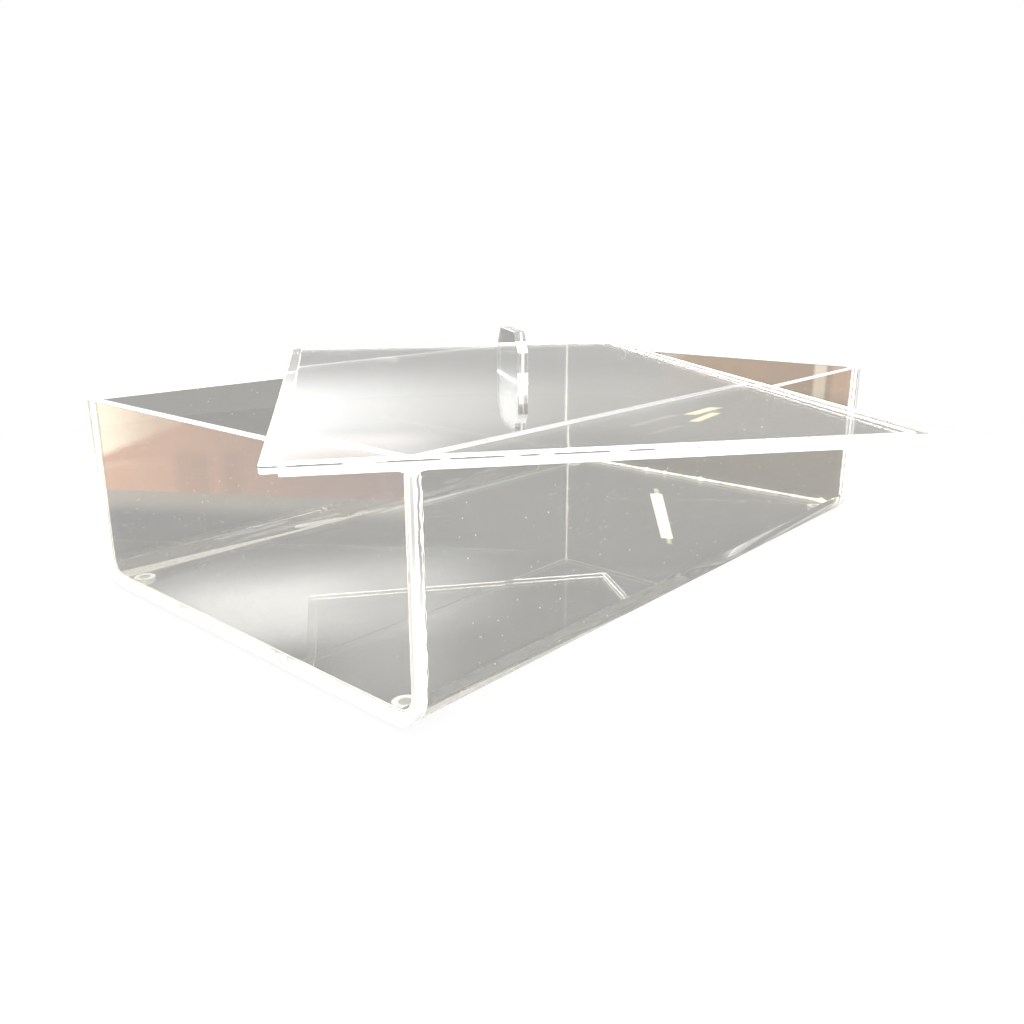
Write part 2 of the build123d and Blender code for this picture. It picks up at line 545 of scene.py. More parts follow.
class WearAndShade:
    """The marks of use, and the painted shade bands along the end panels' edges, that several finishes share,
    each as one node group.
    """

    def __init__(self) -> None:
        """Builds the groups once."""
        self.handling = self.handling_marks()
        self.sawn = self.sawn_streaks()
        self.bubbles = self.cement_bubbles()
        self.bands = self.edge_bands()

    @staticmethod
    def handling_marks() -> bpy.types.NodeTree:
        """Hair scratches and dust on a polished face.

        A scratch is where noise drawn out along one direction passes a limit, and a speck is the heart of a
        small Voronoi cell. Both are thinned out by a slow noise, so that they lie in patches.
        """
        usual = {"Scratches": 0.5, "Dust": 0.5, "Turn": 0.0}
        tree, given, result = new_group("handling_marks", usual, {"Marks": "Float", "Relief": "Float"})
        place = tree.here()
        turned = tree.add("VectorRotate", {"Vector": place, "Angle": given["Turn"]}, rotation_type="Z_AXIS")
        drawn = tree.add("VectorMath", {0: turned.outputs[0], 1: (9.0, 640.0, 640.0)}, operation="MULTIPLY")
        lines = tree.ramp(tree.noise(drawn.outputs[0], 1.0, 1.0), 0.70, 0.78)
        scratch = tree.times(lines, tree.ramp(tree.noise(place, 14.0), 0.5, 0.68))
        far, own = tree.cells(place, 330.0)
        dust = tree.times(tree.ramp(far, 0.16, 0.07), tree.ramp(own, 0.80, 0.95))
        both = tree.math("ADD", tree.times(scratch, given["Scratches"]), tree.times(dust, given["Dust"]))
        tree.link(tree.math("MINIMUM", both, 1.0), result["Marks"])
        tree.link(tree.times(scratch, tree.times(given["Scratches"], -1.0)), result["Relief"])
        return tree.tree

    @staticmethod
    def sawn_streaks() -> bpy.types.NodeTree:
        """Fine saw marks and duller patches along a cut edge, from noise drawn out upright and slow noise."""
        tree, given, result = new_group(
            "sawn_streaks", {"Depth": 0.5}, {"Color": "Color", "Roughness": "Float", "Relief": "Float"}
        )
        place = tree.here()
        drawn = tree.add("VectorMath", {0: place, 1: (900.0, 900.0, 120.0)}, operation="MULTIPLY")
        marks = tree.noise(drawn.outputs[0], 1.0)
        dull = tree.times(tree.ramp(tree.noise(place, 60.0, 3.0), 0.56, 0.70), given["Depth"])
        tree.link(tree.blend(dull, rgba((0.98, 0.98, 0.96)), rgba((0.70, 0.70, 0.68))), result["Color"])
        tree.link(tree.ramp(marks, 0.3, 0.7, (0.25, 0.5)), result["Roughness"])
        tree.link(marks, result["Relief"])
        return tree.tree

    @staticmethod
    def cement_bubbles() -> bpy.types.NodeTree:
        """Bubbles and dry patches in a cemented seam, from Voronoi cells of two sizes and a broken noise."""
        tree, given, result = new_group(
            "cement_bubbles", {"Amount": 0.5}, {"Bubbles": "Float", "Smears": "Float"}
        )
        place = tree.here()
        rings = []
        for scale in (260.0, 720.0):
            far, own = tree.cells(place, scale)
            rings.append(tree.times(tree.ramp(far, 0.42, 0.30), tree.ramp(own, 0.55, 0.6)))
        patches = tree.ramp(tree.noise(place, 30.0), 0.50, 0.58)
        tree.link(tree.times(tree.math("MAXIMUM", *rings), patches, given["Amount"]), result["Bubbles"])
        broken = tree.ramp(tree.noise(place, 130.0, 4.0, 1.5), 0.60, 0.68)
        tree.link(tree.times(broken, given["Amount"]), result["Smears"])
        return tree.tree

    @staticmethod
    def edge_bands() -> bpy.types.NodeTree:
        """Painted shade: grey bands along the upright edges of an end panel, in place of the darker
        surroundings seen through the clear strips that the cement left.

        Across the edge runs a painted strip beside the outer face, on the edges at -y only, and a broken one
        beside the seam. Both fade out towards the bottom, and the rims have none.
        """
        sizes = {"Half Length": 0.202, "Sheet": 0.006, "Half Width": 0.125, "Height": 0.1}
        tree, given, result = new_group("edge_bands", sizes, {"Shade": "Float"})
        place = tree.here()
        at = tree.split(place)
        deep = tree.math("SUBTRACT", given["Half Length"], tree.math("ABSOLUTE", at["X"]))
        across = tree.math("DIVIDE", deep, given["Sheet"])
        high = tree.math("DIVIDE", at["Z"], given["Height"])
        wobble = tree.noise(place, 260.0, 3.0)
        shifted = tree.math("MULTIPLY_ADD", wobble, 0.5, tree.math("SUBTRACT", across, 0.25))
        outer = tree.times(tree.ramp(across, 0.08, 0.2), tree.ramp(across, 0.46, 0.36), 0.5)
        outer = tree.times(outer, tree.ramp(high, 0.5, 0.8), tree.ramp(at["Y"], 0.02, -0.02))
        seam = tree.times(tree.ramp(shifted, 0.66, 0.72), tree.ramp(shifted, 0.93, 0.86), 0.75)
        seam = tree.times(seam, tree.ramp(high, 0.35, 0.75))
        past = tree.math("SUBTRACT", tree.math("ABSOLUTE", at["Y"]), given["Half Width"])
        both = tree.times(tree.math("ADD", outer, seam), tree.ramp(high, 0.993, 0.985))
        tree.link(tree.times(both, tree.ramp(past, -6e-4, -3e-4)), result["Shade"])
        return tree.tree


def new_material(name: str) -> tuple[bpy.types.Material, Tree, Socket]:
    """Starts an empty material.

    Args:
        name: The material's name.

    Returns:
        The material, its tree and the input that its surface goes to.
    """
    material = bpy.data.materials.new(name)
    material.use_nodes = True
    material.node_tree.nodes.clear()
    tree = Tree(material.node_tree)
    return material, tree, tree.add("OutputMaterial").inputs["Surface"]


def pass_lamp_light(tree: Tree, body: bpy.types.Node, tint: Colour, surface: Socket) -> None:
    """Ends a clear material, through which shadow rays pass straight, so that lamps light what lies behind.

    Args:
        tree: The material's tree.
        body: The shader that every other ray meets.
        tint: The share of lamp light that passes.
        surface: The input that the material's surface goes to.
    """
    passing = tree.add("BsdfTransparent", {"Color": rgba(tint)})
    shadow = tree.add("LightPath").outputs["Is Shadow Ray"]
    mix = tree.add("MixShader", {0: shadow, 1: body.outputs[0], 2: passing.outputs[0]})
    tree.link(mix.outputs[0], surface)


@dataclass(frozen=True)
class ClearSheet:
    """Polished clear sheet: refracts, mirrors, and lets lamp light through to what lies behind."""

    name: str
    tint: Colour
    wear_and_shade: WearAndShade
    scratches: float = 0.5
    dust: float = 0.5
    turn: float = 0.0
    lamp_tint: Colour = (0.95, 0.95, 0.95)
    # painted glow: light the sheet gives off all over, as on the lid's margin
    glow: Colour = (0.0, 0.0, 0.0)

    def build(self) -> bpy.types.Material:
        """The material: marks raise the roughness and give off a painted glint, and the rest gives off the
        glow colour as a painted glow.
        """
        material, tree, surface = new_material(self.name)
        marks = tree.place(self.wear_and_shade.handling, Scratches=self.scratches, Dust=self.dust, Turn=self.turn)
        rough = tree.ramp(marks.outputs["Marks"], 0.0, 1.0, (0.0, 0.30))
        # painted glint and glow: the marks give off light, and the rest gives off the glow colour
        glint = tree.blend(marks.outputs["Marks"], rgba(self.glow), rgba((0.30, 0.30, 0.29)))
        relief = tree.add("Bump", {"Height": marks.outputs["Relief"], "Strength": 0.2, "Distance": 2e-5})
        body = tree.add("BsdfPrincipled", {
            "Base Color": rgba(self.tint),
            "Roughness": rough,
            "IOR": SHEET_INDEX,
            "Transmission Weight": 1.0,
            "Emission Color": glint,
            "Emission Strength": 1.0,
            "Normal": relief.outputs[0],
        })
        pass_lamp_light(tree, body, self.lamp_tint, surface)
        return material


@dataclass(frozen=True)
class CutEdge:
    """A saw-cut, lightly scraped edge: satin white, with a painted glow given off as emission in place of the
    light its sheet gathers.
    """

    name: str
    wear_and_shade: WearAndShade
    depth: float = 0.5
    # painted glow: given off outside, and from inside the sheet in the inner tint
    glow: float = 0.5
    inner_glow: float = 0.5
    inner_tint: Colour = (1.0, 0.97, 0.88)
    painted_band_colour: Colour = (0.16, 0.16, 0.15)
    banded: bool = False
    dash_colour: Colour = (0.3, 0.3, 0.29)
    dash_height: float = 0.0
    dash_reach: tuple[float, float] = (3e-4, 5e-4)
    dash_end: tuple[float, float] = (-0.125, -0.115)

    def build(self) -> bpy.types.Material:
        """The material: a satin white with duller patches and a painted glow, given off in the inner tint
        from inside the sheet.
        """
        material, tree, surface = new_material(self.name)
        marks = tree.place(self.wear_and_shade.sawn, Depth=self.depth)
        relief = tree.add("Bump", {"Height": marks.outputs["Relief"], "Strength": 0.3, "Distance": 5e-5})
        colour = marks.outputs["Color"]
        # painted shade: grey bands in place of the surroundings seen through clear strips of the edge
        if self.banded:
            bands = tree.place(self.wear_and_shade.bands)
            colour = tree.blend(bands.outputs["Shade"], colour, rgba(self.painted_band_colour))
        if self.dash_height:
            colour = tree.blend(self.dashes(tree), colour, rgba(self.dash_colour))
        # painted glow: the colour is given off outside, the inner tint from inside the sheet
        strength = max(self.glow, self.inner_glow)
        outside = tree.add("VectorMath", {0: colour, "Scale": self.glow / strength}, operation="SCALE")
        within = rgba(tuple(part * self.inner_glow / strength for part in self.inner_tint))
        shine = tree.blend(tree.add("NewGeometry").outputs["Backfacing"], outside.outputs[0], within)
        body = tree.add("BsdfPrincipled", {
            "Base Color": colour,
            "Roughness": marks.outputs["Roughness"],
            "IOR": SHEET_INDEX,
            "Emission Color": shine,
            "Emission Strength": strength,
            "Normal": relief.outputs[0],
        })
        tree.link(body.outputs[0], surface)
        return material

    def dashes(self, tree: Tree) -> Socket:
        """Broken dark dashes along the left end of an edge, where slow noise passes a limit near a height.

        Args:
            tree: The material's tree.

        Returns:
            The share that is dark.
        """
        place = tree.here()
        at = tree.split(place)
        off = tree.math("ABSOLUTE", tree.math("SUBTRACT", at["Z"], self.dash_height))
        near = tree.ramp(off, *self.dash_reach[::-1])
        broken = tree.times(near, tree.ramp(tree.noise(place, 60.0), 0.44, 0.48))
        return tree.times(broken, tree.ramp(at["X"], *self.dash_end[::-1]))


@dataclass(frozen=True)
class CementedEnd:
    """The end of a sheet seen through the panel cemented over it: white, with bubbles and dry patches."""

    name: str
    wear_and_shade: WearAndShade
    amount: float = 0.6
    # glow is a painted glow outside, inner_glow a dimmer one inside, near_right_glow a painted highlight
    # inside
    glow: float = 0.55
    inner_glow: float = 0.12
    near_right_glow: float = 1.3

    def build(self) -> bpy.types.Material:
        """The material: white cement with greyer bubbles and a painted glow, with painted shade from inside
        the sheet.
        """
        material, tree, surface = new_material(self.name)
        marks = tree.place(self.wear_and_shade.bubbles, Amount=self.amount)
        grey = tree.math("MAXIMUM", marks.outputs["Bubbles"], tree.times(marks.outputs["Smears"], 0.6))
        colour = tree.blend(grey, rgba((0.97, 0.97, 0.95)), rgba((0.42, 0.41, 0.39)))
        relief = tree.add("Bump", {"Height": marks.outputs["Bubbles"], "Strength": 0.4, "Distance": 1e-4})
        # painted shade: from inside the base colour is a grey copy and the glow dims, but for a painted
        # highlight at the near right end
        inside = tree.add("NewGeometry").outputs["Backfacing"]
        at = tree.split(tree.here())
        near_right = tree.times(tree.ramp(at["X"], 0.1, 0.12), tree.ramp(at["Y"], -0.117, -0.1195))
        dim, bright = self.inner_glow / self.glow, self.near_right_glow / self.glow
        within = tree.blend(near_right, rgba((dim, dim, dim * 0.95)), rgba((bright, bright, bright * 0.98)))
        body = tree.add("BsdfPrincipled", {
            "Base Color": tree.blend(inside, colour, rgba((0.5, 0.5, 0.48))),
            "Roughness": 0.35,
            "IOR": SHEET_INDEX,
            "Emission Color": tree.blend(inside, colour, within),
            "Emission Strength": self.glow,
            "Normal": relief.outputs[0],
        })
        tree.link(body.outputs[0], surface)
        return material


@dataclass(frozen=True)
class CementFilm:
    """The film of cement between two plates, clear but for smears of bubbles."""

    name: str
    wear_and_shade: WearAndShade
    amount: float = 0.04

    def build(self) -> bpy.types.Material:
        """The material: plain transparent, with white patches mixed in where the cement is dry."""
        material, tree, surface = new_material(self.name)
        marks = tree.place(self.wear_and_shade.bubbles, Amount=self.amount)
        share = tree.times(marks.outputs["Bubbles"], marks.outputs["Smears"])
        dry = tree.add("BsdfPrincipled", {"Base Color": rgba((0.95, 0.95, 0.93)), "Roughness": 0.4})
        clear = tree.add("BsdfTransparent")
        mix = tree.add("MixShader", {0: share, 1: clear.outputs[0], 2: dry.outputs[0]})
        tree.link(mix.outputs[0], surface)
        return material


@dataclass(frozen=True)
class HandleEdge:
    """The handle plate's polished edge: clear, with painted highlights that glow white at its foot, on its
    cut and down its far left corner.
    """

    name: str
    wear_and_shade: WearAndShade
    lid_top: float
    along: tuple[float, float]
    corner: tuple[float, float]
    foot: float = 0.0058
    shoulder: tuple[float, float] = (0.0165, 0.0219)
    softness: float = 1e-4
    tint: Colour = (0.97, 0.97, 0.97)
    lamp_tint: Colour = (0.95, 0.95, 0.95)

    def build(self) -> bpy.types.Material:
        """The material: clear glass that gives off painted light in the white places, and a painted glint on
        its marks.
        """
        material, tree, surface = new_material(self.name)
        marks = tree.place(self.wear_and_shade.handling, Scratches=0.4, Dust=0.6)
        place = tree.here()
        height = tree.math("SUBTRACT", tree.split(place)["Z"], self.lid_top)
        low, high = self.shoulder
        soft = self.softness
        rise = tree.ramp(height, low - soft, low + soft)
        shoulder = tree.times(rise, tree.ramp(height, high + soft, high - soft))
        # painted highlights: bands at the foot and on the cut, seen from outside only, and the corner line
        # glow white
        faces = tree.math("MAXIMUM", tree.ramp(height, self.foot + soft, self.foot - soft), shoulder)
        outside = tree.math("SUBTRACT", 1.0, tree.add("NewGeometry").outputs["Backfacing"])
        white = tree.math("MAXIMUM", tree.times(faces, outside), self.corner_line(tree, place))
        shine = tree.math("MAXIMUM", white, tree.times(marks.outputs["Marks"], 0.3))
        body = tree.add("BsdfPrincipled", {
            "Base Color": rgba(self.tint),
            "Roughness": tree.ramp(white, 0.0, 1.0, (0.03, 0.4)),
            "IOR": SHEET_INDEX,
            "Transmission Weight": 1.0,
            "Emission Color": tree.blend(shine, BLACK, rgba((0.9, 0.9, 0.88))),
            "Emission Strength": 0.7,
        })
        pass_lamp_light(tree, body, self.lamp_tint, surface)
        return material

    def corner_line(self, tree: Tree, place: Socket) -> Socket:
        """A painted highlight line down the far left corner, where the distances along and across the plate
        both near its ends.

        Args:
            tree: The material's tree.
            place: The Object coordinates.

        Returns:
            The share that glows white, a painted highlight.
        """
        reach = tree.dot(place, (*self.along, 0.0))
        side = tree.dot(place, (-self.along[1], self.along[0], 0.0))
        far, left = self.corner
        return tree.times(tree.ramp(reach, far - 7e-4, far - 4e-4), tree.ramp(side, left - 9e-4, left - 6e-4))


@dataclass(frozen=True)
class SoftClear:
    """Clear soft plastic or set cement: cloudy glass with a little painted glow, given off as emission."""

    name: str
    wear_and_shade: WearAndShade
    tint: Colour = (0.97, 0.96, 0.92)
    cloud: float = 0.12
    # painted glow, given off as emission
    glow: float = 0.12
    lamp_tint: Colour = (0.9, 0.9, 0.88)

    def build(self) -> bpy.types.Material:
        """The material: rough glass with dust and a painted glow."""
        material, tree, surface = new_material(self.name)
        marks = tree.place(self.wear_and_shade.handling, Scratches=0.0, Dust=0.8)
        rough = tree.ramp(marks.outputs["Marks"], 0.0, 1.0, (self.cloud, 0.5))
        body = tree.add("BsdfPrincipled", {
            "Base Color": rgba(self.tint),
            "Roughness": rough,
            "IOR": 1.5,
            "Transmission Weight": 0.85,
            "Emission Color": rgba(self.tint),
            "Emission Strength": self.glow,
        })
        pass_lamp_light(tree, body, self.lamp_tint, surface)
        return material


class Finishes:
    """Every finish of the box and its lid, built once."""

    dash_drop = 6e-4  # how far under the lid's top the dashes on its edge lie

    def __init__(self) -> None:
        """Builds the shared marks and then the materials."""
        self.wear_and_shade = wear_and_shade = WearAndShade()
        body, end, lid = (0.955, 0.955, 0.945), (0.955, 0.950, 0.940), (0.965, 0.970, 0.965)
        self.body_sheet = ClearSheet(
            "clear_body_sheet", body, wear_and_shade, scratches=0.2, dust=0.9, turn=0.3
        ).build()
        self.end_sheet = ClearSheet("clear_end_sheet", end, wear_and_shade, scratches=0.35, dust=0.8, turn=1.2).build()
        self.lid_sheet = ClearSheet("clear_lid_sheet", lid, wear_and_shade, dust=0.9, turn=0.8).build()
        # the lid's margin under the cover gives off a painted glow
        self.lid_margin_painted_glow = ClearSheet("clear_lid_margin", lid, wear_and_shade, glow=(0.2, 0.195, 0.18)).build()
        self.handle_sheet = ClearSheet("clear_handle_sheet", (0.96, 0.965, 0.96), wear_and_shade, turn=2.1).build()
        self.body_edge = CutEdge("cut_body_edge", wear_and_shade).build()
        self.end_edge = CutEdge("cut_end_edge", wear_and_shade, depth=0.2, banded=True).build()
        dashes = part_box("lid_cover")[1].z - self.dash_drop
        # the lid's edges give off a strong painted glow from inside the sheet
        self.lid_edge = CutEdge("cut_lid_edge", wear_and_shade, depth=0.2, inner_glow=6.5, dash_height=dashes).build()
        self.cemented_end = CementedEnd("cemented_sheet_end", wear_and_shade).build()
        self.cement_film = CementFilm("cement_film", wear_and_shade).build()
        self.bead = SoftClear("set_cement_bead", wear_and_shade, tint=(0.98, 0.96, 0.88), cloud=0.3, glow=0.45).build()
        self.thick_bead = SoftClear(
            "thick_cement_bead", wear_and_shade, tint=(0.98, 0.98, 0.97), cloud=0.4, glow=0.7
        ).build()
        self.bumper = SoftClear("clear_soft_bumper", wear_and_shade).build()
        self.bumper_glue = CementedEnd("bumper_glue_ring", wear_and_shade, amount=0.4).build()


def report(piece: bpy.types.Object, body: str, slot: str, *replaced: str) -> None:
    """Makes a finished piece ride on its body and stand for its nodes, and logs it.

    Args:
        piece: The finished object.
        body: The body that it moves with.
        slot: Not used.
        replaced: The nodes that it stands for.
    """
    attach(piece, body)
    if replaced:
        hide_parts(*replaced)
    log.info("%s rides on %s with %d faces", piece.name, body, len(piece.data.polygons))


def along_x(x: float) -> np.ndarray:
    """Places a plate drawn in y and z so that its thickness runs along +X from x."""
    place = np.eye(4)
    place[:3, :3] = np.array([(0, 0, 1), (1, 0, 0), (0, 1, 0)])
    place[0, 3] = x
    return place


@dataclass
class Box:
    """The open box: the bent sheet, the two end panels cemented over its ends, and four bumpers."""

    finishes: Finishes
    panel_corner_radius: float = 5e-4
    left_bead: float = 2.5e-4
    right_bead: float = 8e-4
    right_drops: tuple[tuple[float, float, float], ...] = (
        (0.038, 0.006, 1.1e-3),
        (0.021, 0.006, 8e-4),
        (-0.0105, 0.006, 1.0e-3),
        (-0.1155, 0.009, 1.8e-3),
        (-0.1065, 0.006, 1.3e-3),
    )
    bead_lift: float = 1.35
    thread_radius: float = 1.3e-4
    thread_from: float = 0.018
    thread_to: float = 0.098
    thread_winds: tuple[tuple[float, float, float], ...] = ((2e-4, 310.0, 0.0), (2e-4, 830.0, 1.0))

    def __post_init__(self) -> None:
        """Reads the sizes of the sheets from the frame."""
        low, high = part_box("bent_body")
        self.inside_low, self.inside_high = low.x, high.x
        self.outside_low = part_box("left_end_panel")[0].x
        self.panel_sheet = self.inside_low - self.outside_low
        self.sheet = BentSheet(high.x - low.x, high.y - low.y, high.z)

    def build(self) -> None:
        """Builds every piece of the box."""
        self.build_body()
        self.build_panel("left_end_panel", self.outside_low, self.panel_sheet - SEAT_GAP)
        self.build_panel("right_end_panel", self.inside_high + SEAT_GAP, self.panel_sheet - SEAT_GAP)
        for side in ("front_left", "front_right", "back_left", "back_right"):
            self.build_bumper(side)

    def build_body(self) -> None:
        """The bent sheet, and the beads of cement along the inside of its two seams."""
        skin = self.sheet.surface(self.inside_low, self.inside_high)
        materials = [self.finishes.body_sheet, self.finishes.body_edge, self.finishes.cemented_end]
        report(skin.build("bent_body_sheet", materials), "box", "body_sheet", "bent_body")
        left = CementBead(self.left_bead)
        right = CementBead(self.right_bead, drops=self.right_drops)
        for name, bead, x in (
            ("left_seam_bead", left, self.inside_low + self.left_bead * self.bead_lift),
            ("right_seam_bead", right, self.inside_high - self.right_bead * self.bead_lift),
        ):
            path = self.sheet.inner_corner(x, bead.radius * self.bead_lift)
            made = bead.surface(path, (1.0, 0.0, 0.0))
            report(made.build(name, [self.finishes.bead]), "box", "end_sheet")
        self.build_outer_thread()

    def build_outer_thread(self) -> None:
        """The thread of cement that ran out of the near upright seam.

        It winds to and fro across the seam as a sum of two sine waves of its height.
        """
        high = np.linspace(self.thread_from, self.thread_to, 180)
        wind = sum(size * np.sin(high * rate + start) for size, rate, start in self.thread_winds)
        near = np.full(len(high), -self.sheet.width / 2 - SEAT_GAP)
        path = np.column_stack([self.inside_low + 3e-4 + wind, near, high])
        thread = CementBead(self.thread_radius, waves=(19.0, 47.0, 113.0), unevenness=1.2)
        made = thread.surface(path, (0.0, 1.0, 0.0))
        report(made.build("near_seam_thread", [self.finishes.bead]), "box", "end_sheet")

    def build_panel(self, node: str, x: float, thickness: float) -> None:
        """One end panel, cut to the bent sheet's outer outline.

        Args:
            node: The solid that it stands for.
            x: Where its inner or outer face starts along x.
            thickness: How thick it is.
        """
        half = self.sheet.width / 2
        bend = self.sheet.sheet + self.sheet.former_radius
        corners = np.array([(-half, 0.0), (half, 0.0), (half, self.sheet.height), (-half, self.sheet.height)])
        radii = np.array([bend, bend, self.panel_corner_radius, self.panel_corner_radius])
        outline = Outline(corners, radii, steps=60)
        plate = Plate(outline, thickness, along_x(x), arris=self.panel_corner_radius * 0.7, clear_arris=True)
        materials = [self.finishes.end_sheet, self.finishes.end_edge]
        report(plate.surface().build(node + "_sheet", materials), "box", "end_sheet", node)

    def build_bumper(self, side: str) -> None:
        """One bumper, stuck under the bottom."""
        low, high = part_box(side + "_foot")
        middle = (low + high) / 2
        shape = Bumper(radius=(high.x - low.x) / 2, height=high.z - low.z - 2 * SEAT_GAP)
        dome = shape.surface((middle.x, middle.y), -SEAT_GAP)
        materials = [self.finishes.bumper, self.finishes.bumper_glue]
        report(dome.build(side + "_bumper", materials), "box", "clear_foot", side + "_foot")


@dataclass
class Lid:
    """The loose lid: a cover, the locating plate cemented under it and the handle plate cemented on it."""

    finishes: Finishes
    length: float
    width: float
    turn: float = 53.5
    shift: tuple[float, float] = (-0.0225, -0.0112)
    corner_radius: float = 0.002
    plate_corner_radius: float = 5e-4
    plate_inset: tuple[float, float] = (0.007, 0.006)
    handle_length: float = 0.057
    handle_sheet: float = 0.0055
    handle_corner_cut: float = 0.010
    handle_off_centre: float = 0.0055
    handle_arris: float = 4e-4
    bead_radius: float = 2.5e-4
    bead_lift: float = 1.4

    def __post_init__(self) -> None:
        """Reads the levels of the plates from the frame."""
        self.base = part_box("lid_locating_plate")[0].z
        self.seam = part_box("lid_cover")[0].z
        self.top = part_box("lid_cover")[1].z
        self.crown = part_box("lid_handle")[1].z

    def place(self, height: float) -> np.ndarray:
        """Places a plate drawn along the lid's own x and y at a height."""
        angle = np.radians(self.turn)
        made = np.eye(4)
        made[:2, :2] = [(np.cos(angle), -np.sin(angle)), (np.sin(angle), np.cos(angle))]
        made[:3, 3] = (*self.shift, height)
        return made

    def build(self) -> None:
        """Builds every piece of the lid."""
        inner = np.array([self.length, self.width]) - 2 * np.array(self.plate_inset)
        locating = rectangle(*inner, self.plate_corner_radius)
        contact = rectangle(*(inner - 2 * self.plate_corner_radius), self.plate_corner_radius)
        self.build_plates(locating, contact)
        self.build_handle()

    def build_plates(self, locating: Outline, contact: Outline) -> None:
        """The cover and the locating plate, with the film of cement between them."""
        sheet, margin = self.finishes.lid_sheet, self.finishes.lid_margin_painted_glow
        materials = [sheet, self.finishes.lid_edge, self.finishes.cement_film, margin]
        cover_base = self.seam + SEAT_GAP
        cover = Plate(
            rectangle(self.length, self.width, self.corner_radius),
            self.top - cover_base,
            self.place(cover_base),
            clear_arris=True,
            margin=Zone.MARGIN,
            bonded_below=contact,
        )
        report(cover.surface().build("lid_cover_sheet", materials), "lid", "lid_sheet", "lid_cover")
        plate_base = self.base + SEAT_GAP
        plate = Plate(
            locating,
            self.seam - plate_base,
            self.place(plate_base),
            bonded_above=contact,
        )
        piece = plate.surface().build("locating_plate_sheet", materials)
        report(piece, "lid", "lid_sheet", "lid_locating_plate")

    def build_handle(self) -> None:
        """The handle plate, on edge along the lid with both top corners cut off."""
        half, cut = self.handle_length / 2, self.handle_corner_cut
        side_z = self.handle_sheet / 2
        rise = self.crown - self.top - SEAT_GAP
        right = np.array([(half, 0.0), (half, rise - cut), (half - cut, rise)])
        corners = np.concatenate([right, right[::-1] * (-1, 1)])
        upright = np.eye(4)
        upright[:3, :3] = np.array([(1, 0, 0), (0, 0, -1), (0, 1, 0)])
        upright[:3, 3] = (-self.handle_off_centre, side_z, 0)
        place = self.place(self.top + SEAT_GAP) @ upright
        outline = Outline(corners, np.full(len(corners), 6e-4), steps=5)
        plate = Plate(outline, self.handle_sheet, place, arris=self.handle_arris)
        along, across = self.place(0.0)[:2, 0], self.place(0.0)[:2, 1]
        far = float(along @ np.array(self.shift)) + half - self.handle_off_centre
        left = float(across @ np.array(self.shift)) + side_z
        edge = HandleEdge("handle_edge", self.finishes.wear_and_shade, self.top, tuple(along.tolist()), (far, left))
        materials = [self.finishes.handle_sheet, edge.build()]
        report(plate.surface().build("handle_plate", materials), "lid", "handle_sheet", "lid_handle")
        bead = CementBead(radius=self.bead_radius)
        for name, side in (("handle_left_bead", 1), ("handle_right_bead", -1)):
            ends = np.array([(-half, side * side_z, 0), (half, side * side_z, 0)])
            seat = self.place(self.top + self.bead_radius * self.bead_lift)
            path = transform(ends - (self.handle_off_centre, 0, 0), seat)
            made = bead.surface(path, (0.0, 0.0, 1.0))
            report(made.build(name, [self.finishes.thick_bead]), "lid", "handle_sheet")


@dataclass(frozen=True)
class Glow:
    """A soft bright patch of the studio round the object, by its limits in azimuth and elevation."""

    azimuths: tuple[float, float]
    elevations: tuple[float, float]
    side_softness: float
    edge_softness: float
    colour: Colour
    lean: float = 0.0


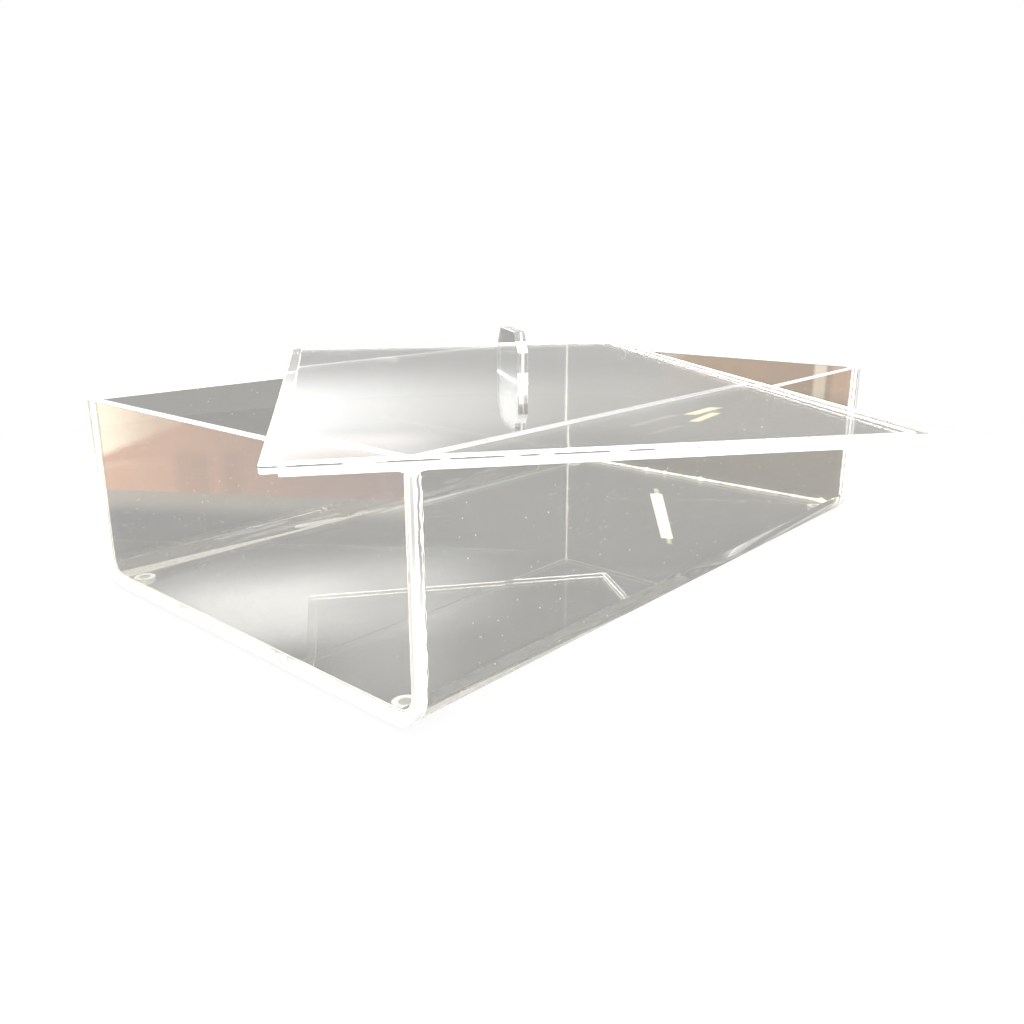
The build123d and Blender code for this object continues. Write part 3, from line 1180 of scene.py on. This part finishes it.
@dataclass(frozen=True)
class Studio:
    """The plain pale floor, the soft light and the white surroundings."""

    floor_level: float
    floor_radius: float = 0.62
    floor_grey: float = 0.33
    camera_lift: float = 0.73
    sheet_lift: Colour = (0.112, 0.109, 0.104)
    warm_sheet_lift: Colour = (0.165, 0.135, 0.09)
    # painted pool of the card's warm light on the floor at its foot, seen only in and through the sheets
    painted_card_light_pool: Colour = (0.85, 0.72, 0.58)
    card_ends: tuple[tuple[float, float], tuple[float, float]] = ((-0.295, 0.340), (-0.436, 0.1246))
    card_height: float = 0.09
    plain_light: float = 0.55
    surround: Colour = (0.57, 0.57, 0.56)
    glows: tuple[Glow, ...] = (
        Glow((20.0, 32.0), (9.1, 9.9), 22.0, 3.2, (1.03, 1.03, 1.02)),
        Glow((20.0, 30.0), (9.6, 11.5), 8.0, 2.8, (0.5, 0.5, 0.49)),
        Glow((20.0, 40.0), (11.4, 12.5), 6.0, 0.9, (0.55, 0.5, 0.48)),
        Glow((49.0, 56.0), (8.6, 9.6), 7.0, 2.0, (0.13, 0.13, 0.12)),
        Glow((29.0, 33.5), (21.2, 22.7), 6.5, 2.4, (1.2, 1.2, 1.17)),
        Glow((28.0, 40.0), (20.6, 21.8), 10.0, 3.0, (1.3, 1.3, 1.28)),
        Glow((38.0, 41.0), (24.0, 26.5), 5.0, 3.5, (0.68, 0.68, 0.66)),
        Glow((57.62, 58.28), (14.8, 17.45), 0.12, 0.15, (4.0, 3.75, 2.7), lean=0.31),
        Glow((57.85, 58.0), (14.45, 17.8), 0.15, 0.15, (1.5, 1.4, 0.8), lean=0.31),
        Glow((61.05, 61.6), (9.12, 9.54), 0.25, 0.08, (1.1, 1.0, 0.55), lean=-3.24),
        Glow((61.2, 61.6), (9.45, 9.97), 0.25, 0.08, (1.0, 0.9, 0.5), lean=-2.28),
        Glow((58.6, 58.95), (9.65, 10.37), 0.3, 0.1, (0.16, 0.13, 0.11), lean=-3.39),
        Glow((58.95, 59.3), (10.32, 10.82), 0.3, 0.1, (0.12, 0.10, 0.07), lean=-3.0),
        Glow((67.35, 67.8), (-8.0, -3.0), 0.25, 0.8, (0.42, 0.40, 0.34)),
        Glow((68.5, 69.6), (-8.0, -3.0), 0.5, 0.8, (0.22, 0.12, 0.09)),
    )

    def build(self) -> None:
        """Builds the floor, the surroundings and the lamps."""
        self.build_floor()
        self.build_card()
        self.build_world()
        self.build_lamps()

    @staticmethod
    def ray_shares(tree: Tree) -> tuple[Socket, Socket]:
        """Whether a ray comes straight from the camera, and whether it is in a mirror or through a sheet.

        Args:
            tree: The node tree of the floor or of the surroundings.

        Returns:
            Both shares, 0 or 1.
        """
        path = tree.add("LightPath").outputs
        both = tree.math("ADD", path["Is Glossy Ray"], path["Is Transmission Ray"])
        return path["Is Camera Ray"], tree.math("MINIMUM", both, 1.0)

    def seen_colour(self, tree: Tree, place: Socket) -> Socket:
        """What lifts the floor towards white: much for the camera, and a share in and through the sheets.

        Args:
            tree: The floor's node tree.
            place: The Object coordinates. The share is warmer to the right, far along x, and near the card's
                foot it is a painted pool of the card's light.

        Returns:
            The colour of the light that the floor adds.
        """
        camera, in_sheets = self.ray_shares(tree)
        along = tree.split(place)["X"]
        warm = tree.blend(tree.ramp(along, 0.0, 0.5), rgba(self.sheet_lift), rgba(self.warm_sheet_lift))
        start, end = (np.array(point) for point in self.card_ends)
        across = np.array([start[1] - end[1], end[0] - start[0]]) / np.linalg.norm(end - start)
        to_card = tree.dot(place, (*across, 0.0))
        foot = float(across @ start)
        # painted pool of light: the floor near the card's foot is lifted to the card's warm colour
        warm = tree.blend(tree.ramp(to_card, foot + 0.068, foot + 0.02), warm, rgba(self.painted_card_light_pool))
        sheets = tree.blend(in_sheets, BLACK, warm)
        return tree.blend(camera, sheets, rgba((self.camera_lift,) * 3))

    def build_floor(self) -> None:
        """A round floor, rings by spokes, grey by itself and lifted to white where it is seen."""
        radii = self.floor_radius * np.linspace(0, 1, 25) ** 1.5
        spokes = unit(np.linspace(0, 2 * np.pi, 96, endpoint=False))
        ring = radii[::-1, None, None] * spokes[None]
        points = np.concatenate([ring, np.full(ring.shape[:2] + (1,), self.floor_level)], axis=-1)
        made = Surface()
        made.grid(points, Zone.FACE, False, closed=True)
        material, tree, surface = new_material("pale_floor")
        place = tree.here()
        tone = tree.ramp(tree.noise(place, 40.0), 0.3, 0.7, (self.floor_grey * 0.98, self.floor_grey * 1.02))
        matt = tree.add("BsdfDiffuse", {"Color": tone})
        white = tree.add("Emission", {"Color": self.seen_colour(tree, place), "Strength": 1.0})
        both = tree.add("AddShader", {0: matt.outputs[0], 1: white.outputs[0]})
        tree.link(both.outputs[0], surface)
        made.build("pale_floor", [material])

    def build_card(self) -> None:
        """A low warm card to the left, seen only in a mirror, such as an end panel, and not straight through.

        It is a grid of quads over its length and height. Along it the colour goes from cream to peach at a
        slanting line, and two upright bands are darker.
        """
        start, end = (np.array(point) for point in self.card_ends)
        share = np.linspace(0, 1, 9)[None, :, None]
        rise = np.linspace(0, self.card_height, 5)[:, None, None] + self.floor_level
        line = np.broadcast_to(start + (end - start) * share, (5, 9, 2))
        points = np.concatenate([line, np.broadcast_to(rise, (5, 9, 1))], axis=-1)
        made = Surface()
        made.grid(points, Zone.FACE, False)
        material, tree, surface = new_material("warm_card")
        place = tree.here()
        length = float(np.linalg.norm(end - start))
        toward = (*((end - start) / length**2), 0.0)
        begin = tree.add("VectorMath", {0: place, 1: (*start, 0.0)}, operation="SUBTRACT")
        along = tree.dot(begin.outputs[0], toward)
        high = tree.split(place)["Z"]
        slant = tree.math("SUBTRACT", high, tree.math("MULTIPLY_ADD", along, 0.10, 0.021))
        peach = tree.blend(tree.ramp(along, 0.15, 0.9), rgba((1.95, 1.08, 0.66)), rgba((1.3, 0.75, 0.6)))
        cream = tree.blend(tree.ramp(along, 0.22, -0.02), rgba((2.3, 1.6, 1.1)), rgba((3.7, 3.2, 2.4)))
        colour = tree.blend(tree.ramp(slant, -0.002, 0.006), peach, cream)
        bands = []
        for low, top in ((0.24, 0.34), (0.39, 0.44)):
            rise, fall = tree.ramp(along, low - 0.01, low), tree.ramp(along, top + 0.01, top)
            bands.append(tree.times(rise, fall, 0.2))
        dark = tree.times(tree.math("ADD", *bands), tree.ramp(high, 0.034, 0.022))
        shine = tree.add("Emission", {"Color": tree.blend(dark, colour, BLACK), "Strength": 1.0})
        path = tree.add("LightPath").outputs
        turned = tree.math("ADD", path["Glossy Depth"], path["Diffuse Depth"])
        straight = tree.math("SUBTRACT", 1.0, tree.math("MINIMUM", turned, 1.0))
        hidden = tree.times(path["Is Transmission Ray"], straight)
        clear = tree.add("BsdfTransparent")
        shown = tree.add("MixShader", {0: hidden, 1: shine.outputs[0], 2: clear.outputs[0]})
        tree.link(shown.outputs[0], surface)
        card = made.build("warm_card", [material])
        card.visible_camera = False
        card.visible_diffuse = False
        card.visible_shadow = False

    @staticmethod
    def glow_group() -> bpy.types.NodeTree:
        """A soft-edged patch: four smooth steps, up and down in azimuth and in elevation, multiplied.

        Its lean is how many degrees of azimuth it moves for each degree of elevation above its lower limit.
        """
        limits = dict.fromkeys(("Azimuth", "Elevation", "From", "To", "Low", "High", "Lean"), 0.0)
        tree, at, result = new_group("soft_glow", limits | {"Side": 1.0, "Edge": 1.0}, {"Share": "Float"})
        above = tree.math("SUBTRACT", at["Elevation"], at["Low"])
        straight = tree.math("SUBTRACT", at["Azimuth"], tree.times(above, at["Lean"]))
        steps = []
        for value, low, high, soft in (
            (straight, "From", "To", "Side"),
            (at["Elevation"], "Low", "High", "Edge"),
        ):
            steps.append(tree.ramp(value, tree.math("SUBTRACT", at[low], at[soft]), at[low]))
            steps.append(tree.ramp(value, tree.math("ADD", at[high], at[soft]), at[high]))
        tree.link(tree.times(*steps), result["Share"])
        return tree.tree

    def build_world(self) -> None:
        """White where the camera looks, plain light on the object, and a toned studio in the sheets."""
        world = bpy.data.worlds.new("studio")
        bpy.context.scene.world = world
        world.use_nodes = True
        world.node_tree.nodes.clear()
        tree = Tree(world.node_tree)
        out = tree.add("OutputWorld")
        way = tree.split(tree.add("TexCoord").outputs["Generated"])
        azimuth = tree.math("DEGREES", tree.math("ARCTAN2", way["X"], way["Y"]))
        elevation = tree.math("DEGREES", tree.math("ARCSINE", way["Z"]))
        seen = self.tone(tree, azimuth, elevation)
        group = self.glow_group()
        for glow in self.glows:
            patch = tree.place(
                group, Azimuth=azimuth, Elevation=elevation, From=glow.azimuths[0], To=glow.azimuths[1],
                Low=glow.elevations[0], High=glow.elevations[1], Side=glow.side_softness,
                Edge=glow.edge_softness, Lean=glow.lean,
            )
            lit = tree.add("VectorMath", {0: glow.colour, "Scale": patch.outputs[0]}, operation="SCALE")
            seen = tree.add("VectorMath", {0: seen, 1: lit.outputs[0]}, operation="ADD").outputs[0]
        camera, in_sheets = self.ray_shares(tree)
        light = tree.blend(in_sheets, rgba((self.plain_light,) * 3), seen)
        back = tree.add("Background", {"Color": tree.blend(camera, light, WHITE), "Strength": 1.0})
        tree.link(back.outputs[0], out.inputs["Surface"])

    def tone(self, tree: Tree, azimuth: Socket, elevation: Socket) -> Socket:
        """The plain tone: as grey as the floor below the horizon, warmer to the right, and paler above."""
        to_right = tree.ramp(azimuth, 50.0, 63.0)
        below = tree.blend(to_right, rgba((0.43, 0.418, 0.40)), rgba((0.455, 0.385, 0.315)))
        return tree.blend(tree.ramp(elevation, -2.0, 4.0), below, rgba(self.surround))

    def build_lamps(self) -> None:
        """Two broad lamps, one above and one beside, each as bright as its distance asks."""
        for name, place, size, share in (
            ("soft_top", (-0.3, -0.2, 1.7), 1.3, 0.30),
            ("soft_side", (-1.0, -1.3, 0.9), 1.0, 0.25),
        ):
            lamp = bpy.data.lights.new(name, "AREA")
            lamp.shape = "DISK"
            lamp.size = size
            distance = float(np.linalg.norm(place))
            lamp.energy = share * np.pi**2 * distance**2
            holder = bpy.data.objects.new(name, lamp)
            bpy.context.scene.collection.objects.link(holder)
            holder.rotation_euler = (-Vector(place)).to_track_quat("-Z", "Y").to_euler()
            holder.location = place


@dataclass(frozen=True)
class View:
    """The camera: where it stands, and the azimuth from +Y towards +X, elevation and roll of its look."""

    place: tuple[float, float, float] = (-0.39430, -0.34377, 0.16974)
    azimuth: float = 48.297
    elevation: float = -16.078
    roll: float = -0.11
    focal_pixels: float = 878.6
    frame_pixels: float = 1024.0
    sensor: float = 36.0

    def build(self) -> None:
        """Makes the scene's camera."""
        data = bpy.data.cameras.new("portrait")
        data.sensor_width = self.sensor
        data.lens = self.focal_pixels / self.frame_pixels * self.sensor
        data.clip_start = 0.01
        camera = bpy.data.objects.new("portrait", data)
        bpy.context.scene.collection.objects.link(camera)
        turn = (
            Matrix.Rotation(np.radians(-self.azimuth), 4, "Z")
            @ Matrix.Rotation(np.radians(90 + self.elevation), 4, "X")
            @ Matrix.Rotation(np.radians(self.roll), 4, "Z")
        )
        camera.matrix_world = Matrix.Translation(self.place) @ turn
        bpy.context.scene.camera = camera


def main() -> None:
    """Builds the pieces, the studio and the view."""
    logging.basicConfig(level=logging.INFO, format="%(name)s: %(message)s")
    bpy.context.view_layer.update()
    finishes = Finishes()
    box = Box(finishes)
    box.build()
    Lid(finishes, length=2 * abs(box.outside_low), width=box.sheet.width).build()
    Studio(floor_level=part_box("front_left_foot")[0].z).build()
    View().build()
    scene = bpy.context.scene
    scene.view_settings.view_transform = "Standard"
    scene.cycles.max_bounces = LIGHT_BOUNCES
    scene.cycles.transmission_bounces = LIGHT_BOUNCES
    scene.cycles.glossy_bounces = LIGHT_BOUNCES
    scene.cycles.transparent_max_bounces = CLEAR_BOUNCES


if __name__ == "__main__":
    main()
